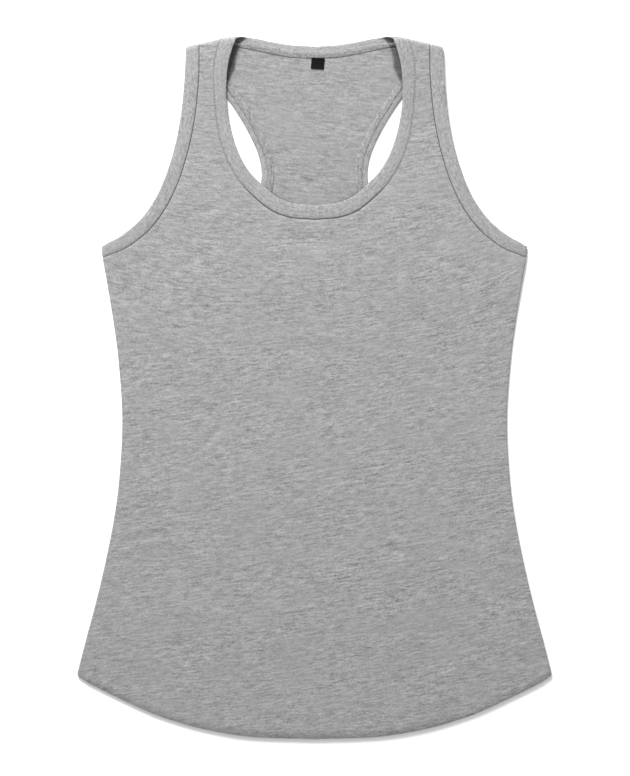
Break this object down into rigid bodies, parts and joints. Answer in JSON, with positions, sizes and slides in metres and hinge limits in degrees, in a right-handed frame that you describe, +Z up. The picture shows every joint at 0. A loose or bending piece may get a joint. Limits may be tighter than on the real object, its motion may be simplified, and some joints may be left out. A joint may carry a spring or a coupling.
{
  "type": "tank top",
  "caption": "Sleeveless racerback tank top of heather jersey, laid flat with its front up: scoop neck, bound neck and armholes, shaped sides and a curved hem.",
  "frame": {"origin": "middle of the lowest plane, where the laid garment's back rests on the surface", "axes": "+X across to the wearer's left, +Y from the hem towards the neck, +Z up out of the garment's front"},
  "size_m": [0.4654, 0.6896, 0.0096],
  "materials": {
    "heather_jersey": "matte heather jersey with fine streaks across",
    "heather_band": "matte heather jersey, folded double",
    "label_tape": "fine woven black tape"
  },
  "bodies": {
    "root": {"front_panel": "heather_jersey", "back_panel": "heather_jersey", "neck_band": "heather_band", "armhole_band_left": "heather_band", "armhole_band_right": "heather_band", "label": "label_tape"}
  },
  "joints": []
}
